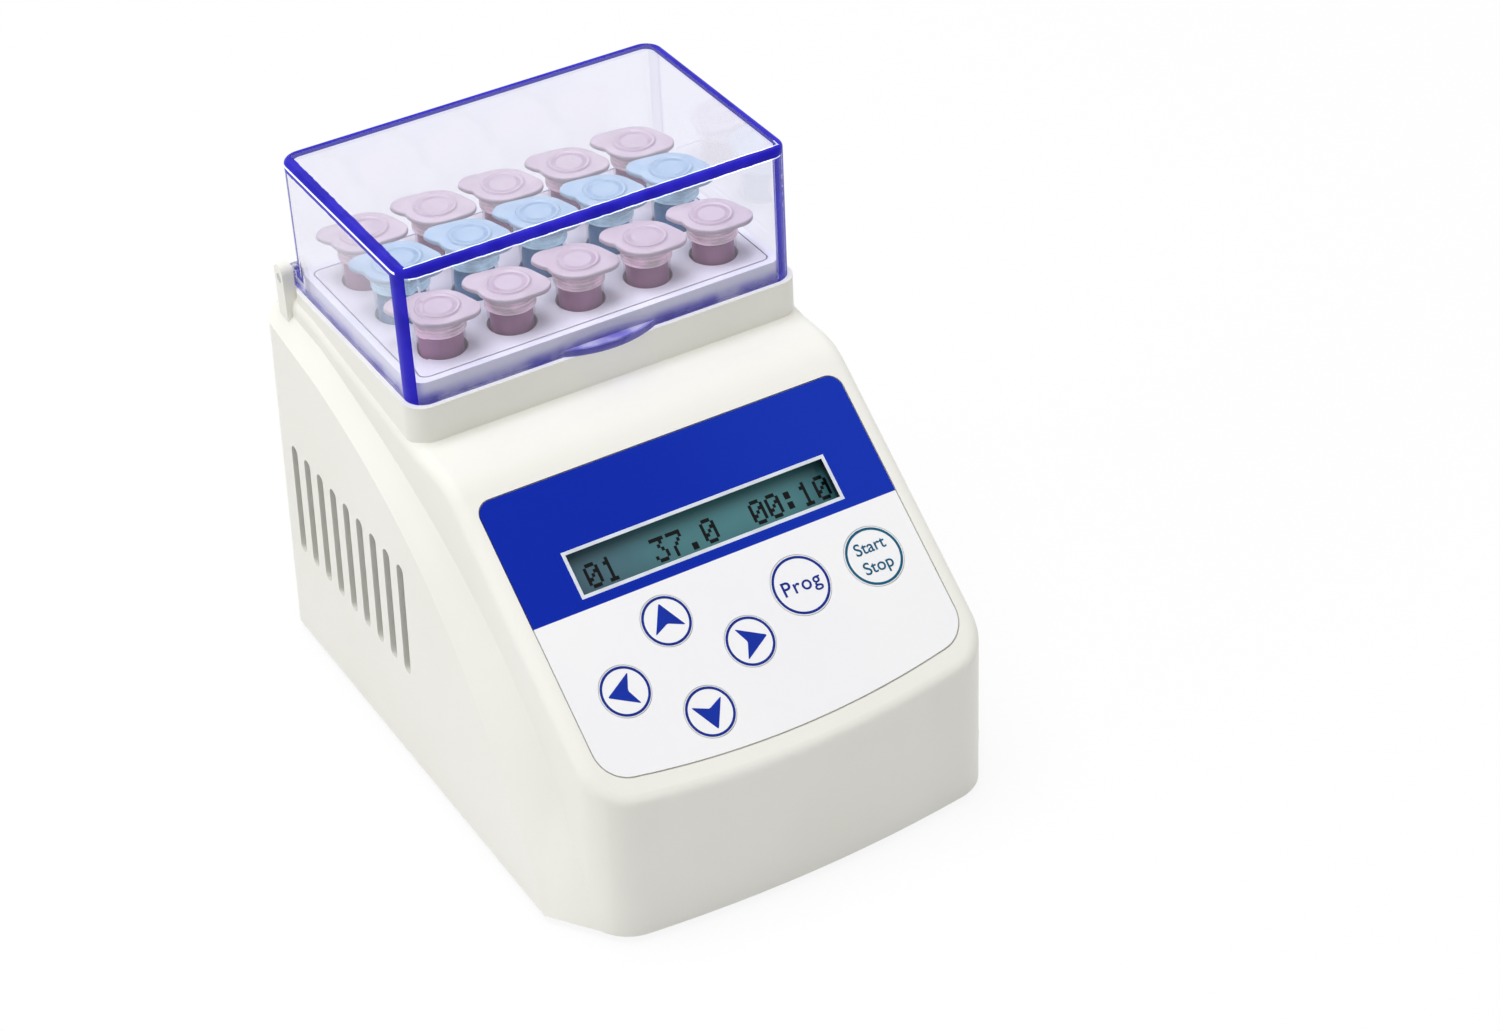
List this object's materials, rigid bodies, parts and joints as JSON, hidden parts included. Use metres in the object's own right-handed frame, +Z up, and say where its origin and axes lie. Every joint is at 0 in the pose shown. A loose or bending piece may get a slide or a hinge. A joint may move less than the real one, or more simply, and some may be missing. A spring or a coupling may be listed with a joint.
{
  "type": "dry block heater",
  "caption": "Bench-top dry block heater: moulded case with a sloping keypad and display, a heated block of sample tubes, and a clear lid hinged at the rear.",
  "frame": {"origin": "middle of the object's footprint at the level of the ground under its feet", "axes": "+Z up, front with the control panel towards -Y, +X to the right seen from the front"},
  "size_m": [0.1128, 0.15, 0.1295],
  "materials": {
    "case_plastic": "satin moulded ABS, warm off-white",
    "base_plastic": "fine textured ABS",
    "bezel_plastic": "smooth white heat-resistant plastic",
    "block_metal": "machined and bead-blasted",
    "clear_lid": "clear moulded acrylic with a blue edge glow",
    "overlay_film": "printed film, blue band over white",
    "key_film": "printed film with blue key rings",
    "display_glass": "green-grey liquid crystal glass",
    "dark_metal": "black lacquered steel",
    "circuit_board": "green solder mask",
    "black_plastic": "black moulded nylon",
    "rocker_plastic": "polished black plastic",
    "steel": "zinc-plated",
    "nylon": "natural nylon",
    "rubber": "soft black rubber",
    "silicone": "silicone heater mat",
    "felt": "ceramic fibre felt",
    "pink_tube": "translucent pink polypropylene",
    "blue_tube": "translucent light blue polypropylene"
  },
  "bodies": {
    "case": {"upper_housing": "case_plastic", "base_plate": "base_plastic", "block_bezel": "bezel_plastic", "heating_block": "block_metal", "panel_overlay": "overlay_film", "display_glass": "display_glass", "display_frame": "dark_metal", "heat_sink": "dark_metal", "display_board": "circuit_board", "control_board": "circuit_board", "power_board": "circuit_board", "key_switches": "black_plastic", "controller_chip": "black_plastic", "buzzer": "black_plastic", "power_inlet": "black_plastic", "switch_frame": "black_plastic", "capacitor": "black_plastic", "base_screws": "steel", "board_screws": "steel", "hinge_pins": "steel", "block_pillars": "steel", "block_tray": "steel", "temperature_probe": "steel", "thermal_cutout": "steel", "display_spacers": "nylon", "board_posts": "nylon", "power_standoffs": "nylon", "wire_terminals": "nylon", "rubber_feet": "rubber", "heater_mat": "silicone", "insulation_jacket": "felt", "lower_pad": "felt"},
    "lid": {"lid": "clear_lid"},
    "rocker": {"rocker": "rocker_plastic"},
    "key_up": {"key_up": "key_film"},
    "key_down": {"key_down": "key_film"},
    "key_left": {"key_left": "key_film"},
    "key_right": {"key_right": "key_film"},
    "key_program": {"key_program": "key_film"},
    "key_start": {"key_start": "key_film"},
    "tube_front_1": {"tube_front_1": "pink_tube"},
    "tube_front_2": {"tube_front_2": "pink_tube"},
    "tube_front_3": {"tube_front_3": "pink_tube"},
    "tube_front_4": {"tube_front_4": "pink_tube"},
    "tube_front_5": {"tube_front_5": "pink_tube"},
    "tube_rear_1": {"tube_rear_1": "pink_tube"},
    "tube_rear_2": {"tube_rear_2": "pink_tube"},
    "tube_rear_3": {"tube_rear_3": "pink_tube"},
    "tube_rear_4": {"tube_rear_4": "pink_tube"},
    "tube_rear_5": {"tube_rear_5": "pink_tube"},
    "tube_middle_1": {"tube_middle_1": "blue_tube"},
    "tube_middle_2": {"tube_middle_2": "blue_tube"},
    "tube_middle_3": {"tube_middle_3": "blue_tube"},
    "tube_middle_4": {"tube_middle_4": "blue_tube"},
    "tube_middle_5": {"tube_middle_5": "blue_tube"}
  },
  "joints": [
    {"name": "lid_hinge", "type": "hinge", "parent": "case", "child": "lid", "pos_m": [0, 0.067, 0.09865], "axis": [-1, 0, 0], "range_deg": [0, 104]},
    {"name": "rocker_pivot", "type": "hinge", "parent": "case", "child": "rocker", "pos_m": [0.027, 0.0709, 0.024], "axis": [1, 0, 0], "range_deg": [0, 20]},
    {"name": "key_up_press", "type": "slide", "parent": "case", "child": "key_up", "axis": [0, 0.606, -0.7955], "range_m": [0, 0.00035], "stiffness_N_per_m": 2500, "springref_m": -0.0001},
    {"name": "key_down_press", "type": "slide", "parent": "case", "child": "key_down", "axis": [0, 0.606, -0.7955], "range_m": [0, 0.00035], "stiffness_N_per_m": 2500, "springref_m": -0.0001},
    {"name": "key_left_press", "type": "slide", "parent": "case", "child": "key_left", "axis": [0, 0.606, -0.7955], "range_m": [0, 0.00035], "stiffness_N_per_m": 2500, "springref_m": -0.0001},
    {"name": "key_right_press", "type": "slide", "parent": "case", "child": "key_right", "axis": [0, 0.606, -0.7955], "range_m": [0, 0.00035], "stiffness_N_per_m": 2500, "springref_m": -0.0001},
    {"name": "key_program_press", "type": "slide", "parent": "case", "child": "key_program", "axis": [0, 0.606, -0.7955], "range_m": [0, 0.00035], "stiffness_N_per_m": 2500, "springref_m": -0.0001},
    {"name": "key_start_press", "type": "slide", "parent": "case", "child": "key_start", "axis": [0, 0.606, -0.7955], "range_m": [0, 0.00035], "stiffness_N_per_m": 2500, "springref_m": -0.0001},
    {"name": "tube_front_1_lift", "type": "slide", "parent": "case", "child": "tube_front_1", "axis": [0, 0, 1], "range_m": [0, 0.0155]},
    {"name": "tube_front_2_lift", "type": "slide", "parent": "case", "child": "tube_front_2", "axis": [0, 0, 1], "range_m": [0, 0.0155]},
    {"name": "tube_front_3_lift", "type": "slide", "parent": "case", "child": "tube_front_3", "axis": [0, 0, 1], "range_m": [0, 0.0155]},
    {"name": "tube_front_4_lift", "type": "slide", "parent": "case", "child": "tube_front_4", "axis": [0, 0, 1], "range_m": [0, 0.0155]},
    {"name": "tube_front_5_lift", "type": "slide", "parent": "case", "child": "tube_front_5", "axis": [0, 0, 1], "range_m": [0, 0.0155]},
    {"name": "tube_rear_1_lift", "type": "slide", "parent": "case", "child": "tube_rear_1", "axis": [0, 0, 1], "range_m": [0, 0.0145]},
    {"name": "tube_rear_2_lift", "type": "slide", "parent": "case", "child": "tube_rear_2", "axis": [0, 0, 1], "range_m": [0, 0.0145]},
    {"name": "tube_rear_3_lift", "type": "slide", "parent": "case", "child": "tube_rear_3", "axis": [0, 0, 1], "range_m": [0, 0.0145]},
    {"name": "tube_rear_4_lift", "type": "slide", "parent": "case", "child": "tube_rear_4", "axis": [0, 0, 1], "range_m": [0, 0.0145]},
    {"name": "tube_rear_5_lift", "type": "slide", "parent": "case", "child": "tube_rear_5", "axis": [0, 0, 1], "range_m": [0, 0.0145]},
    {"name": "tube_middle_1_lift", "type": "slide", "parent": "case", "child": "tube_middle_1", "axis": [0, 0, 1], "range_m": [0, 0.0135]},
    {"name": "tube_middle_2_lift", "type": "slide", "parent": "case", "child": "tube_middle_2", "axis": [0, 0, 1], "range_m": [0, 0.0135]},
    {"name": "tube_middle_3_lift", "type": "slide", "parent": "case", "child": "tube_middle_3", "axis": [0, 0, 1], "range_m": [0, 0.0135]},
    {"name": "tube_middle_4_lift", "type": "slide", "parent": "case", "child": "tube_middle_4", "axis": [0, 0, 1], "range_m": [0, 0.0135]},
    {"name": "tube_middle_5_lift", "type": "slide", "parent": "case", "child": "tube_middle_5", "axis": [0, 0, 1], "range_m": [0, 0.0135]}
  ]
}
